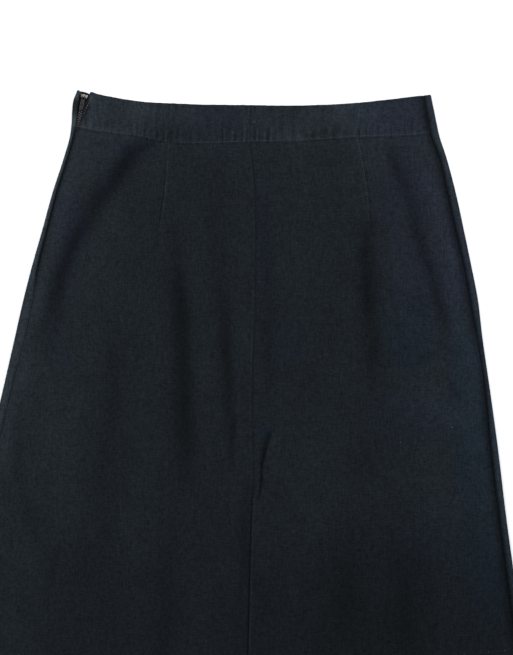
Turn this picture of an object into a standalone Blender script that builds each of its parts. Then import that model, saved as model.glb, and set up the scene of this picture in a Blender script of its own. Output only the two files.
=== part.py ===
"""A-line skirt in woven cotton, laid flat with its back upward.

X runs to the wearer's right (the viewer's right), +Y towards the waist and +Z up from the surface.
The front panel lies on the surface and rolls up round both side folds. The two back panels lie on it
between the side seams, with the waist facings and the side zip in between. The origin is under the
middle of the whole skirt.
"""
import math

import bmesh
import bpy
import numpy as np
from mathutils import Matrix

# Cloth, in metres
WALL = 0.0012                 # the panels' wall
FACING_WALL = 0.0010          # facings and zip tape
GAP = 0.0003                  # between neighbouring pieces
LENGTH = 0.620                # waist edge to hem, down the middle
PLAIN_HEIGHT = 0.0040         # top of the back panels over the surface
BAND_HEIGHT = 0.0053          # the same where the facings lie inside
BAND_DEPTH = 0.037            # depth of the facings, to their line of stitching
BAND_FADE = 0.045             # length over which the band's height eases out
VENT_TOP = 0.411              # where the centre seam opens, below the waist
VENT_UNDERLAP = 0.038         # width of the left panel's extension under the right one
VENT_LIFT = 0.0009            # how far the overlap raises the cloth
VENT_TUCK = 0.0155            # where the left panel starts to sink under the right one, before its edge
VENT_SUNK = 0.0015            # and where it is fully under it

# Zip
ZIP_LENGTH = 0.205            # waist edge to the end of the placket
TAPE_EDGE = 0.0023            # tape's outer edge, in from the side fold
TAPE_REACH = 0.0095           # tape's width beyond the side seam
SLIDER_AT = (-0.1806, 0.0084)     # middle of the slider: across, and up from the middle of the waist edge
ZIP_LEAN = math.radians(13.4)     # the zip's slope at the slider, from straight down
SLIDER_LENGTH = 0.0086
SLIDER_WIDE = 0.0074          # at the waist end
SLIDER_NARROW = 0.0052        # at the hem end
SLIDER_PLATE = 0.0008         # thickness of each plate
SLIDER_POST = 0.0020          # width of the wedge that parts the teeth
CROWN_WIRE = 0.00045          # radius of the crown's wire
CROWN_SPAN = 0.0054           # between the crown's legs
PULL_LENGTH = 0.0145
PULL_WIDTH = 0.0040
PULL_THICK = 0.0009
PULL_EYE = (0.0018, 0.0030)   # width and length of the eye that rides on the crown
PULL_SLOT = (0.0013, 0.0034, 0.0072)      # width and length of the grip's slot, and its start from the axis
PULL_AXIS_HEIGHT = 0.0062     # the pull's axis over the surface

# Mesh density: segments across each piece
BACK_COLUMNS = 22
FRONT_COLUMNS = 12
FOLD_SEGMENTS = 7
ROW_PITCH = 0.0165
BAND_PITCH = 0.0075

# Laid outline. down: below the middle of the waist edge. left, right: side folds, from the picture's middle.
# left_strip, right_strip: width of the front that shows between the fold and the side seam.
# zip_open: width of the opening beside the zip, between the front's edge and the back's.
OUTLINE = [
    # down,   left,    right, left_strip, right_strip, zip_open
    (-0.014, -0.1885, 0.1831, 0.0032, 0.0080, 0.0122),
    (-0.005, -0.1920, 0.1842, 0.0068, 0.0082, 0.0096),
    (0.007, -0.1934, 0.1864, 0.0068, 0.0085, 0.0072),
    (0.019, -0.1939, 0.1888, 0.0058, 0.0088, 0.0028),
    (0.031, -0.1953, 0.1914, 0.0044, 0.0090, 0.0003),
    (0.053, -0.2014, 0.1986, 0.0044, 0.0078, 0.0003),
    (0.091, -0.2137, 0.2088, 0.0046, 0.0092, 0.0003),
    (0.129, -0.2242, 0.2171, 0.0052, 0.0090, 0.0003),
    (0.167, -0.2350, 0.2250, 0.0066, 0.0080, 0.0003),
    (0.204, -0.2445, 0.2322, 0.0105, 0.0084, 0.0003),
    (0.242, -0.2531, 0.2367, 0.0110, 0.0060, 0.0003),
    (0.292, -0.2645, 0.2439, 0.0092, 0.0052, 0.0003),
    (0.355, -0.2790, 0.2526, 0.0088, 0.0078, 0.0003),
    (0.431, -0.2946, 0.2618, 0.0088, 0.0080, 0.0003),
    (0.520, -0.3116, 0.2740, 0.0088, 0.0084, 0.0003),
    (0.625, -0.3291, 0.2879, 0.0088, 0.0084, 0.0003),
]
DOWN, LEFT, RIGHT, LEFT_STRIP, RIGHT_STRIP, ZIP_OPEN = range(6)

# Waist edge and hem. across: 0 at the left fold, 1 at the right. waist, hem: how far each edge rises there.
EDGES = [
    # across, waist, hem
    (0.00, 0.0155, 0.022),
    (0.03, 0.0137, 0.020),
    (0.07, 0.0109, 0.017),
    (0.13, 0.0068, 0.014),
    (0.21, 0.0030, 0.009),
    (0.27, 0.0018, 0.006),
    (0.34, 0.0007, 0.003),
    (0.50, -0.0001, 0.000),
    (0.57, -0.0006, 0.001),
    (0.66, -0.0002, 0.003),
    (0.77, 0.0017, 0.009),
    (0.87, 0.0054, 0.014),
    (0.94, 0.0084, 0.018),
    (1.00, 0.0110, 0.021),
]
ACROSS, WAIST_RISE, HEM_RISE = range(3)

# Centre back seam, and below VENT_TOP the right panel's edge. down: below the waist. seam: its place across.
CENTRE_SEAM = [
    # down,   seam
    (-0.005, -0.0068),
    (0.038, -0.0072),
    (0.078, -0.0030),
    (0.188, -0.0016),
    (0.309, -0.0050),
    (0.404, -0.0037),
    (0.470, -0.0058),
    (0.625, -0.0095),
]

# Largest folds of the upper layer, each a soft line through three places. rise: height, below 0 for a trough.
FOLDS = [
    # rise,   reach,  from across, down,  by across, down, to across, down
    (-0.0012, 0.0100, -0.112, 0.040, -0.181, 0.116, -0.228, 0.254),
    (-0.0012, 0.0110, -0.087, 0.110, -0.079, 0.235, -0.074, 0.390),
    (-0.0008, 0.0080, -0.034, 0.200, -0.031, 0.262, -0.027, 0.335),
    (-0.0011, 0.0100, 0.118, 0.110, 0.117, 0.190, 0.124, 0.290),
    (-0.0011, 0.0085, 0.136, 0.049, 0.171, 0.146, 0.198, 0.242),
    (-0.0010, 0.0090, 0.166, 0.276, 0.190, 0.262, 0.218, 0.262),
    (-0.0009, 0.0090, -0.156, 0.230, -0.149, 0.300, -0.162, 0.372),
    (-0.0010, 0.0100, -0.243, 0.300, -0.250, 0.370, -0.229, 0.465),
    (-0.0007, 0.0140, 0.010, 0.130, 0.011, 0.235, 0.010, 0.340),
    (-0.0010, 0.0140, 0.111, 0.340, 0.104, 0.410, 0.088, 0.500),
    (-0.0009, 0.0130, -0.160, 0.440, -0.150, 0.520, -0.158, 0.600),
    (-0.0009, 0.0130, 0.186, 0.430, 0.196, 0.510, 0.204, 0.600),
    (0.0018, 0.0240, -0.128, 0.130, -0.122, 0.230, -0.118, 0.330),
    (0.0012, 0.0160, -0.190, 0.190, -0.205, 0.300, -0.214, 0.400),
    (0.0013, 0.0180, -0.055, 0.140, -0.054, 0.260, -0.052, 0.400),
    (0.0018, 0.0260, 0.060, 0.120, 0.062, 0.240, 0.060, 0.380),
    (0.0015, 0.0180, 0.148, 0.150, 0.152, 0.200, 0.160, 0.250),
    (0.0019, 0.0220, 0.145, 0.330, 0.175, 0.316, 0.208, 0.310),
    (0.0016, 0.0260, -0.112, 0.420, -0.108, 0.510, -0.112, 0.600),
    (0.0014, 0.0240, -0.205, 0.460, -0.212, 0.530, -0.224, 0.600),
    (0.0014, 0.0240, 0.060, 0.440, 0.056, 0.520, 0.058, 0.600),
    (0.0014, 0.0260, 0.142, 0.450, 0.146, 0.520, 0.150, 0.600),
]
FOLD_SIDE_FADE = (0.009, 0.034)   # folds ease in between these distances from the side folds
FOLD_TOP_FADE = (0.036, 0.085)    # and between these distances from the waist edge

PLAN_CENTRE = (-0.0201, -0.30226)  # middle of the laid skirt, from the middle of the waist edge


def smooth(low, high, value):
    """Ease from 0 at low to 1 at high."""
    t = np.clip((value - low) / (high - low), 0.0, 1.0)
    return t * t * (3.0 - 2.0 * t)


def read(table, key, column, value):
    """Read a column of a table at a value of its key, as a smooth curve through the rows."""
    keys = np.array([row[key] for row in table])
    values = np.array([row[column] for row in table])
    slopes = np.gradient(values, keys)
    value = np.clip(value, keys[0], keys[-1])
    i = np.clip(np.searchsorted(keys, value, side="right") - 1, 0, len(keys) - 2)
    step = keys[i + 1] - keys[i]
    t = (value - keys[i]) / step
    start = (2 * t**3 - 3 * t**2 + 1) * values[i] + (t**3 - 2 * t**2 + t) * step * slopes[i]
    end = (3 * t**2 - 2 * t**3) * values[i + 1] + (t**3 - t**2) * step * slopes[i + 1]
    return start + end


def depth_at(across, along):
    """Distance from the waist edge, at a place across and a share of the length."""
    waist = read(EDGES, ACROSS, WAIST_RISE, across)
    hem = read(EDGES, ACROSS, HEM_RISE, across)
    return along * (LENGTH + waist - hem)


def plan(across, along):
    """Place on the surface: x from the picture's middle, and distance down."""
    down = depth_at(across, along) - read(EDGES, ACROSS, WAIST_RISE, across)
    left = read(OUTLINE, DOWN, LEFT, down)
    right = read(OUTLINE, DOWN, RIGHT, down)
    return left + across * (right - left), down


def side_down(side, along):
    """Distance down at a side fold, side being 0 or 1."""
    return depth_at(side, along) - read(EDGES, ACROSS, WAIST_RISE, side)


def width_at(along):
    """Width between the side folds."""
    down = side_down(0.5, along)
    return read(OUTLINE, DOWN, RIGHT, down) - read(OUTLINE, DOWN, LEFT, down)


def fold_height(x, down):
    """Rise of all the folds at a place."""
    rise = np.zeros(np.broadcast(x, down).shape)
    steps = np.linspace(0.0, 1.0, 25)
    for height, reach, x0, d0, x1, d1, x2, d2 in FOLDS:
        middle_x = 2 * x1 - (x0 + x2) / 2
        middle_d = 2 * d1 - (d0 + d2) / 2
        line_x = (1 - steps)**2 * x0 + 2 * steps * (1 - steps) * middle_x + steps**2 * x2
        line_d = (1 - steps)**2 * d0 + 2 * steps * (1 - steps) * middle_d + steps**2 * d2
        off = np.hypot(x[..., None] - line_x, down[..., None] - line_d)
        near = off.argmin(axis=-1)
        end_taper = 0.35 + 0.65 * np.sin(math.pi * steps[near])
        rise += height * end_taper * np.exp(-(off.min(axis=-1) / reach)**2)
    return rise


def top_height(across, along):
    """Height of the upper layer's outer face over the surface."""
    x, down = plan(across, along)
    depth = depth_at(across, along)
    band = 1.0 - smooth(BAND_DEPTH, BAND_DEPTH + BAND_FADE, depth)
    height = PLAIN_HEIGHT + (BAND_HEIGHT - PLAIN_HEIGHT) * band
    from_side = np.minimum(across, 1.0 - across) * width_at(along)
    ease = smooth(*FOLD_SIDE_FADE, from_side) * smooth(*FOLD_TOP_FADE, depth)
    seam = read(CENTRE_SEAM, 0, 1, down)
    near_vent = np.exp(-((x - seam - VENT_UNDERLAP * 0.4) / (VENT_UNDERLAP * 1.1))**4)
    lift = VENT_LIFT * near_vent * smooth(VENT_TOP - 0.05, VENT_TOP, down)
    return height + ease * fold_height(x, down) + lift


def place(across, along, height):
    """World points from places on the plan and heights."""
    x, down = plan(across, along)
    height = np.broadcast_to(height, x.shape)
    return np.stack([x - PLAN_CENTRE[0], -down - PLAN_CENTRE[1], height], axis=-1)


def cloth_material(name, colour, roughness=0.9, metallic=0.0):
    """A plain Principled material."""
    material = bpy.data.materials.new(name)
    material.use_nodes = True
    shader = material.node_tree.nodes["Principled BSDF"]
    shader.inputs["Base Color"].default_value = (*colour, 1.0)
    shader.inputs["Roughness"].default_value = roughness
    shader.inputs["Metallic"].default_value = metallic
    return material


def keep(obj, material):
    """Give a finished object its material and put it in the skirt's collection."""
    obj.data.materials.clear()
    obj.data.materials.append(material)
    for collection in list(obj.users_collection):
        collection.objects.unlink(obj)
    skirt.objects.link(obj)
    return obj


def shell(name, points, wall, material, outward_down=False):
    """A wall of cloth: an open sheet through rows of points, thickened away from its outer face."""
    rows, columns = points.shape[:2]
    faces = []
    for r in range(rows - 1):
        for c in range(columns - 1):
            corner = r * columns + c
            face = [corner, corner + columns, corner + columns + 1, corner + 1]
            faces.append(face[::-1] if outward_down else face)
    mesh = bpy.data.meshes.new(name)
    mesh.from_pydata(points.reshape(-1, 3).tolist(), [], faces)
    mesh.shade_smooth()
    obj = bpy.data.objects.new(name, mesh)
    bpy.context.scene.collection.objects.link(obj)
    solid = obj.modifiers.new("wall", "SOLIDIFY")
    solid.thickness = wall
    solid.offset = -1.0
    solid.use_even_offset = True
    return keep(obj, material)


def row_shares():
    """Shares of the length for the panels' rows: close together in the band, and one where the vent opens."""
    marks = [
        # down, pitch
        (0.0, BAND_PITCH),
        (BAND_DEPTH + 0.008, ROW_PITCH),
        (VENT_TOP - 0.012, ROW_PITCH),
        (VENT_TOP, ROW_PITCH),
        (VENT_TOP + 0.018, ROW_PITCH),
        (VENT_TOP + 0.036, ROW_PITCH),
        (LENGTH, ROW_PITCH),
    ]
    downs = [0.0]
    for (low, pitch), (high, _) in zip(marks, marks[1:]):
        count = max(1, round((high - low) / pitch))
        downs.extend(np.linspace(low, high, count + 1)[1:])
    return np.array(downs) / LENGTH


def seam_across(side, along, extra=0.0):
    """Place of a side seam, as a share of the width. extra moves it towards the middle."""
    down = side_down(side, along)
    strip = LEFT_STRIP if side == 0 else RIGHT_STRIP
    inset = (read(OUTLINE, DOWN, strip, down) + extra) / width_at(along)
    return inset if side == 0 else 1.0 - inset


def centre_across(along, extra=0.0):
    """Place of the centre back seam, as a share of the width."""
    down = side_down(0.5, along)
    left = read(OUTLINE, DOWN, LEFT, down)
    return (read(CENTRE_SEAM, 0, 1, down) + extra - left) / width_at(along)


def make_front_panel(material):
    """The front: flat on the surface, rolled up round both side folds to the side seams."""
    along = row_shares()
    turn = np.linspace(0.0, math.pi, FOLD_SEGMENTS + 1)
    sections = []
    for share in along:
        width = width_at(share)
        left_top = float(top_height(np.array(0.001), share))
        right_top = float(top_height(np.array(0.999), share))
        left_seam = seam_across(0, share)
        right_seam = seam_across(1, share)
        left_in = left_top / 2 / width
        right_in = right_top / 2 / width
        across = [left_seam, (left_seam + left_in) / 2]
        height = [left_top, left_top]
        across += list(left_in * (1.0 - np.sin(turn)))
        height += list(left_top / 2 * (1.0 + np.cos(turn)))
        flat = np.linspace(left_in, 1.0 - right_in, FRONT_COLUMNS + 1)[1:-1]
        across += list(flat)
        height += [0.0] * len(flat)
        across += list(1.0 - right_in * (1.0 - np.sin(turn)))
        height += list(right_top / 2 * (1.0 - np.cos(turn)))
        across += [(right_seam + 1.0 - right_in) / 2, right_seam]
        height += [right_top, right_top]
        sections.append(place(np.array(across), share, np.array(height)))
    return shell("front_panel", np.array(sections), WALL, material, outward_down=True)


def make_back_left_panel(material):
    """Left back half. Below the vent's top it sinks under the right half and reaches on beneath it."""
    sections = []
    for share in row_shares():
        down = side_down(0.5, share)
        opening = read(OUTLINE, DOWN, ZIP_OPEN, side_down(0, share))
        start = seam_across(0, share, opening)
        edge = centre_across(share, -GAP / 2)
        reach = VENT_UNDERLAP * smooth(VENT_TOP, VENT_TOP + 0.036, down)
        if down < VENT_TOP - 1e-6:
            across = np.linspace(start, edge, BACK_COLUMNS + 1)
        else:
            sinking = edge - VENT_TUCK / width_at(share)
            sunk_by = edge - VENT_SUNK / width_at(share)
            across = np.linspace(start, sinking, BACK_COLUMNS - 7)
            across = np.append(across, np.linspace(sinking, sunk_by, 4)[1:])
            across = np.append(across, np.linspace(sunk_by, edge + reach / width_at(share), 6)[1:])
        from_edge = (across - edge) * width_at(share)
        sunk = smooth(-VENT_TUCK, -VENT_SUNK, from_edge) * smooth(VENT_TOP - 0.012, VENT_TOP, down)
        height = top_height(across, share) - (WALL + GAP + 0.0001) * sunk
        sections.append(place(across, share, height))
    return shell("back_left_panel", np.array(sections), WALL, material)


def make_back_right_panel(material):
    """Right back half, whose edge laps over the left half below the vent's top."""
    sections = []
    for share in row_shares():
        start = centre_across(share, GAP / 2)
        end = seam_across(1, share, GAP)
        across = np.linspace(start, end, BACK_COLUMNS + 1)
        sections.append(place(across, share, top_height(across, share)))
    return shell("back_right_panel", np.array(sections), WALL, material)


def make_facing(name, first, last, height, material):
    """A waist facing, just under the waist edge, at one height between the layers."""
    along = np.linspace(0.0012, BAND_DEPTH + 0.0015, 4) / LENGTH
    sections = []
    for share in along:
        width = width_at(share)
        across = np.linspace(first / width, 1.0 - last / width, 19)
        sections.append(place(across, share, np.full(across.shape, height)))
    return shell(name, np.array(sections), FACING_WALL, material)


def make_zip_tape(material):
    """Both tapes as one strip, under the left side seam, notched where the slider parts them."""
    sections = []
    for share in np.linspace(0.0030, ZIP_LENGTH + 0.012, 16) / LENGTH:
        width = width_at(share)
        down = side_down(0, share)
        inner = read(OUTLINE, DOWN, LEFT_STRIP, down) + read(OUTLINE, DOWN, ZIP_OPEN, down) + TAPE_REACH
        across = np.linspace(TAPE_EDGE / width, inner / width, 5)
        height = top_height(np.full(across.shape, 0.001), share) - WALL - GAP
        sections.append(place(across, share, height))
    tape = shell("zip_tape", np.array(sections), FACING_WALL, material)
    bpy.ops.mesh.primitive_cube_add(size=1.0)
    notch = bpy.context.object
    notch.name = "notch_cutter"
    notch.parent = zip_head
    notch.dimensions = (SLIDER_POST + 2 * GAP, SLIDER_LENGTH, 4 * FACING_WALL)
    notch.location = (0.0, SLIDER_LENGTH * 0.52, PULL_AXIS_HEIGHT - 0.003)
    notch.hide_render = True
    notch.display_type = "WIRE"
    for collection in list(notch.users_collection):
        collection.objects.unlink(notch)
    cutters.objects.link(notch)
    cut = tape.modifiers.new("slider notch", "BOOLEAN")
    cut.operation = "DIFFERENCE"
    cut.solver = "EXACT"
    cut.object = notch
    return tape


def slab(bm, outline, low, high):
    """Add a flat slab to a mesh: an outline, counter-clockwise from above, between two heights."""
    face = bm.faces.new([bm.verts.new((x, y, low)) for x, y in outline])
    grown = bmesh.ops.extrude_face_region(bm, geom=[face])
    top = [item for item in grown["geom"] if isinstance(item, bmesh.types.BMVert)]
    bmesh.ops.translate(bm, verts=top, vec=(0.0, 0.0, high - low))


def mesh_from(name, build):
    """A mesh object from a function that fills a bmesh."""
    mesh = bpy.data.meshes.new(name)
    bm = bmesh.new()
    build(bm)
    bmesh.ops.recalc_face_normals(bm, faces=bm.faces)
    bm.to_mesh(mesh)
    bm.free()
    obj = bpy.data.objects.new(name, mesh)
    bpy.context.scene.collection.objects.link(obj)
    return obj


def make_crown():
    """The slider's crown: a round wire staple that the pull's eye rides on."""
    curve = bpy.data.curves.new("crown", "CURVE")
    curve.dimensions = "3D"
    curve.bevel_depth = CROWN_WIRE
    curve.bevel_resolution = 2
    curve.use_fill_caps = True
    half = CROWN_SPAN / 2
    top = PULL_AXIS_HEIGHT + PULL_THICK / 2 + 0.0005 + CROWN_WIRE
    foot = PLATE_TOP - SLIDER_PLATE / 2
    corner = 0.0008
    bend = [math.radians(a) for a in (0, 30, 60, 90)]
    route = [(half, foot)]
    route += [(half - corner + corner * math.cos(a), top - corner + corner * math.sin(a)) for a in bend]
    route += [(-y, z) for y, z in reversed(route)]
    spline = curve.splines.new("POLY")
    spline.points.add(len(route) - 1)
    for point, (y, z) in zip(spline.points, route):
        point.co = (0.0, y, z, 1.0)
    wire = bpy.data.objects.new("crown", curve)
    bpy.context.scene.collection.objects.link(wire)
    bpy.context.view_layer.update()
    source = wire.evaluated_get(bpy.context.evaluated_depsgraph_get())
    mesh = bpy.data.meshes.new_from_object(source)
    bm = bmesh.new()
    bm.from_mesh(mesh)
    bmesh.ops.remove_doubles(bm, verts=bm.verts, dist=0.00001)
    bmesh.ops.recalc_face_normals(bm, faces=bm.faces)
    bm.to_mesh(mesh)
    bm.free()
    bpy.data.objects.remove(wire)
    crown = bpy.data.objects.new("crown", mesh)
    bpy.context.scene.collection.objects.link(crown)
    return crown


def join_into(obj, pieces):
    """Unite pieces with an object, and drop the loose copies."""
    for piece in pieces:
        union = obj.modifiers.new(piece.name, "BOOLEAN")
        union.operation = "UNION"
        union.solver = "EXACT"
        union.object = piece
        bpy.context.view_layer.objects.active = obj
        bpy.context.view_layer.update()
        bpy.ops.object.modifier_apply(modifier=union.name)
        bpy.data.objects.remove(piece)


def make_zip_slider(material):
    """Two tapered plates held apart by a wedge at the waist end, with the crown on top."""
    half = SLIDER_LENGTH / 2
    wide = SLIDER_WIDE / 2
    narrow = SLIDER_NARROW / 2
    nose = SLIDER_POST
    outline = [
        (-narrow * 0.75, -half),
        (narrow * 0.75, -half),
        (narrow, -half * 0.8),
        (wide, half * 0.45),
        (wide * 0.88, half * 0.85),
        (nose, half),
        (-nose, half),
        (-wide * 0.88, half * 0.85),
        (-wide, half * 0.45),
        (-narrow, -half * 0.8),
    ]
    post = [
        (0.0, half * 0.10),
        (SLIDER_POST / 2, half * 0.45),
        (SLIDER_POST / 2, half * 0.90),
        (-SLIDER_POST / 2, half * 0.90),
        (-SLIDER_POST / 2, half * 0.45),
    ]
    slider = mesh_from("zip_slider", lambda bm: slab(bm, outline, PLATE_TOP - SLIDER_PLATE, PLATE_TOP))
    lower_top = TAPE_BOTTOM - GAP
    lower = mesh_from("lower_plate", lambda bm: slab(bm, outline, lower_top - SLIDER_PLATE, lower_top))
    wedge_low = lower_top - SLIDER_PLATE / 2
    wedge_high = PLATE_TOP - SLIDER_PLATE / 2
    wedge = mesh_from("wedge", lambda bm: slab(bm, post, wedge_low, wedge_high))
    join_into(slider, [lower, wedge, make_crown()])
    slider.parent = zip_head
    return keep(slider, material)


def make_zip_pull(material):
    """The pull tab: a flat bar with a round end, an eye and a slot. Its origin is on its axis."""
    half = PULL_WIDTH / 2
    thick = PULL_THICK / 2
    end = -PULL_LENGTH + half
    round_end = [math.radians(a) for a in range(180, 361, 20)]
    outline = [(half * math.cos(a), end + half * math.sin(a)) for a in round_end]
    outline += [(half, thick), (-half, thick)]
    pull = mesh_from("zip_pull", lambda bm: slab(bm, outline, -thick, thick))
    for wide, long, start in ((*PULL_EYE, thick), PULL_SLOT):
        side = wide / 2
        window = [(-side, -start - long), (side, -start - long), (side, -start), (-side, -start)]
        cutter = mesh_from("cutter", lambda bm: slab(bm, window, -2 * thick, 2 * thick))
        hole = pull.modifiers.new("window", "BOOLEAN")
        hole.operation = "DIFFERENCE"
        hole.solver = "EXACT"
        hole.object = cutter
        bpy.context.view_layer.objects.active = pull
        bpy.context.view_layer.update()
        bpy.ops.object.modifier_apply(modifier=hole.name)
        bpy.data.objects.remove(cutter)
    edge = pull.modifiers.new("edge", "BEVEL")
    edge.width = 0.00015
    edge.segments = 1
    edge.limit_method = "ANGLE"
    pull.parent = zip_head
    pull.location = (0.0, 0.0, PULL_AXIS_HEIGHT)
    return keep(pull, material)


for old in list(bpy.data.objects):
    bpy.data.objects.remove(old)

TAPE_BOTTOM = BAND_HEIGHT - WALL - GAP - FACING_WALL
PLATE_TOP = BAND_HEIGHT - WALL - GAP + GAP + SLIDER_PLATE

skirt = bpy.data.collections.new("skirt")
cutters = bpy.data.collections.new("cutters")
bpy.context.scene.collection.children.link(skirt)
bpy.context.scene.collection.children.link(cutters)

zip_head = bpy.data.objects.new("zip_head", None)
zip_head.matrix_world = Matrix.Translation(
    (SLIDER_AT[0] - PLAN_CENTRE[0], SLIDER_AT[1] - PLAN_CENTRE[1], 0.0)
) @ Matrix.Rotation(-ZIP_LEAN, 4, "Z")
skirt.objects.link(zip_head)

navy = (0.0137, 0.0176, 0.0212)
make_front_panel(cloth_material("front cotton", navy))
make_back_left_panel(cloth_material("back left cotton", navy))
make_back_right_panel(cloth_material("back right cotton", navy))
make_facing("front_facing", 0.0170, 0.0080, WALL + GAP + FACING_WALL, cloth_material("front facing", navy))
make_facing("back_facing", 0.0320, 0.0080, BAND_HEIGHT - WALL - GAP, cloth_material("back facing", navy))
make_zip_tape(cloth_material("tape", (0.012, 0.012, 0.014)))
make_zip_slider(cloth_material("slider metal", (0.30, 0.27, 0.24), 0.35, 1.0))
make_zip_pull(cloth_material("pull metal", (0.055, 0.052, 0.048), 0.4, 1.0))
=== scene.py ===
"""A washed navy A-line skirt laid flat with its back upward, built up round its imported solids."""
import math

import bmesh
import bpy
import numpy as np
from mathutils import Matrix, Vector, noise


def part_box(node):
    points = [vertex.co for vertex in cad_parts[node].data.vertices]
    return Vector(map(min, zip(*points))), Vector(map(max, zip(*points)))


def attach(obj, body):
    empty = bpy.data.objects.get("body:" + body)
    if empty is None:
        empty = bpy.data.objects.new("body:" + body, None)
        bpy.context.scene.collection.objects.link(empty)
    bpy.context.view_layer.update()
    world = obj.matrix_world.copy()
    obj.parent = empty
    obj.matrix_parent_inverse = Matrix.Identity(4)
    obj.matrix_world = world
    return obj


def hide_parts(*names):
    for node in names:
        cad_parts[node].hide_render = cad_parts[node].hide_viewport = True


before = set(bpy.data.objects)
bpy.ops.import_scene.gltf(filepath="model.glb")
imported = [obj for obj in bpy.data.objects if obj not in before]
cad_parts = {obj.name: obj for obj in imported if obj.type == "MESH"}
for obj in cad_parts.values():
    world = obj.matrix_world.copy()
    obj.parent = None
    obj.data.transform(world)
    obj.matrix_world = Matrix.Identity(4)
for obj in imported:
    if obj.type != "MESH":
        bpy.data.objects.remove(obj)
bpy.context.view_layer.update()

# The view: straight down on the laid skirt, on plain white paper, under large soft lamps. The picture's
# 513 by 655 pixels cover 1.05 mm each, and its middle lies a little right of the skirt's middle.
pixel = 0.00105
picture_middle = Vector((0.0201, 0.0692))
lens = 85.0
sensor = 36.0
camera_height = 655 * pixel * lens / sensor
camera_data = bpy.data.cameras.new("camera")
camera_data.lens = lens
camera_data.sensor_width = sensor


def shown(name, data):
    """An object in the scene, from its mesh, lamp or camera."""
    made = bpy.data.objects.new(name, data)
    bpy.context.scene.collection.objects.link(made)
    return made


camera = shown("camera", camera_data)
camera.location = (picture_middle.x, picture_middle.y, camera_height)
bpy.context.scene.camera = camera
bpy.context.scene.view_settings.view_transform = "Standard"


def finish(name, colour, roughness, gloss):
    """A finish of one colour, with its roughness and the strength of its gloss."""
    material = bpy.data.materials.new(name)
    material.use_nodes = True
    shader = material.node_tree.nodes["Principled BSDF"]
    shader.inputs["Base Color"].default_value = (*colour, 1.0)
    shader.inputs["Roughness"].default_value = roughness
    shader.inputs["Specular IOR Level"].default_value = gloss
    return material


paper = finish("white_paper", (0.86, 0.86, 0.87), 0.9, 0.1)
bpy.ops.mesh.primitive_plane_add(size=8.0, location=(0.0, 0.0, -0.0003))
floor = bpy.context.object
floor.name = "floor"
floor.data.materials.append(paper)

world = bpy.data.worlds.new("studio")
world.use_nodes = True
world.node_tree.nodes["Background"].inputs["Color"].default_value = (0.93, 0.96, 1.0, 1.0)
world.node_tree.nodes["Background"].inputs["Strength"].default_value = 0.75
bpy.context.scene.world = world
for lamp_name, lamp_at, lamp_size, lamp_power in (
    ("lamp_waist_side", (-0.25, 2.0, 1.5), 1.2, 42.0),
    ("lamp_left", (-1.7, 0.5, 1.2), 1.0, 13.0),
    ("lamp_right", (1.7, 0.4, 1.2), 1.0, 15.0),
):
    lamp_data = bpy.data.lights.new(lamp_name, "AREA")
    lamp_data.size = lamp_size
    lamp_data.energy = lamp_power
    lamp = shown(lamp_name, lamp_data)
    lamp.location = lamp_at
    lamp.rotation_euler = (Vector((0.0, 0.05, 0.0)) - lamp.location).to_track_quat("-Z", "Y").to_euler()

# The front: one panel of plain-weave cotton, cut from side seam to side seam. It lies on the paper and
# rolls up round both side folds, so that a narrow strip of it shows beside each side seam.
plan_centre = (-0.0201, -0.30226)
length = 0.62
cloth_wall = 0.0008
plain_height = 0.004
band_height = 0.0053
band_depth = 0.037
band_fade = 0.045
vent_top = 0.411
deepest_fold = 0.0027
outline = [
    ("down", "left", "right", "left_strip", "right_strip", "zip_open"),
    (-0.014, -0.1885, 0.1824, 0.0032, 0.008, 0.0122),
    (-0.005, -0.192, 0.1839, 0.0068, 0.0082, 0.0096),
    (0.007, -0.1934, 0.1864, 0.0068, 0.0085, 0.0072),
    (0.019, -0.1939, 0.1888, 0.0058, 0.0088, 0.0028),
    (0.031, -0.1953, 0.1914, 0.0044, 0.009, 0.0003),
    (0.053, -0.2014, 0.1986, 0.0044, 0.0078, 0.0003),
    (0.091, -0.2137, 0.2088, 0.0046, 0.0092, 0.0003),
    (0.129, -0.2242, 0.2171, 0.0052, 0.009, 0.0003),
    (0.167, -0.235, 0.225, 0.0066, 0.008, 0.0003),
    (0.204, -0.2445, 0.2322, 0.0105, 0.0084, 0.0003),
    (0.242, -0.2531, 0.2367, 0.011, 0.006, 0.0003),
    (0.292, -0.2645, 0.2439, 0.0092, 0.0052, 0.0003),
    (0.355, -0.279, 0.2526, 0.0088, 0.0078, 0.0003),
    (0.431, -0.2946, 0.2618, 0.0088, 0.008, 0.0003),
    (0.52, -0.3116, 0.274, 0.0088, 0.0084, 0.0003),
    (0.625, -0.3291, 0.2879, 0.0088, 0.0084, 0.0003),
]
edges = [
    ("across", "waist", "hem"),
    (0.00, 0.0155, 0.022),
    (0.03, 0.0137, 0.02),
    (0.07, 0.0109, 0.017),
    (0.13, 0.0068, 0.014),
    (0.21, 0.003, 0.009),
    (0.27, 0.0018, 0.006),
    (0.34, 0.0007, 0.003),
    (0.5, -0.0001, 0.000),
    (0.57, -0.0006, 0.001),
    (0.66, -0.0002, 0.003),
    (0.77, 0.0017, 0.009),
    (0.87, 0.0054, 0.014),
    (0.94, 0.0084, 0.018),
    (1.00, 0.011, 0.021),
]
centre_seam = [
    ("down", "seam"),
    (-0.005, -0.0068),
    (0.038, -0.0072),
    (0.078, -0.003),
    (0.188, -0.0016),
    (0.309, -0.005),
    (0.404, -0.0037),
    (0.47, -0.0058),
    (0.625, -0.0095),
]


def ease(low, high, value):
    """Run from 0 at low to 1 at high, with soft ends."""
    t = np.clip((value - low) / (high - low), 0.0, 1.0)
    return t * t * (3.0 - 2.0 * t)


def bump(value, middle, reach):
    """A soft bump: 1 at its middle, and fading out over its reach."""
    return np.exp(-((value - middle) / reach)**2)


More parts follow.
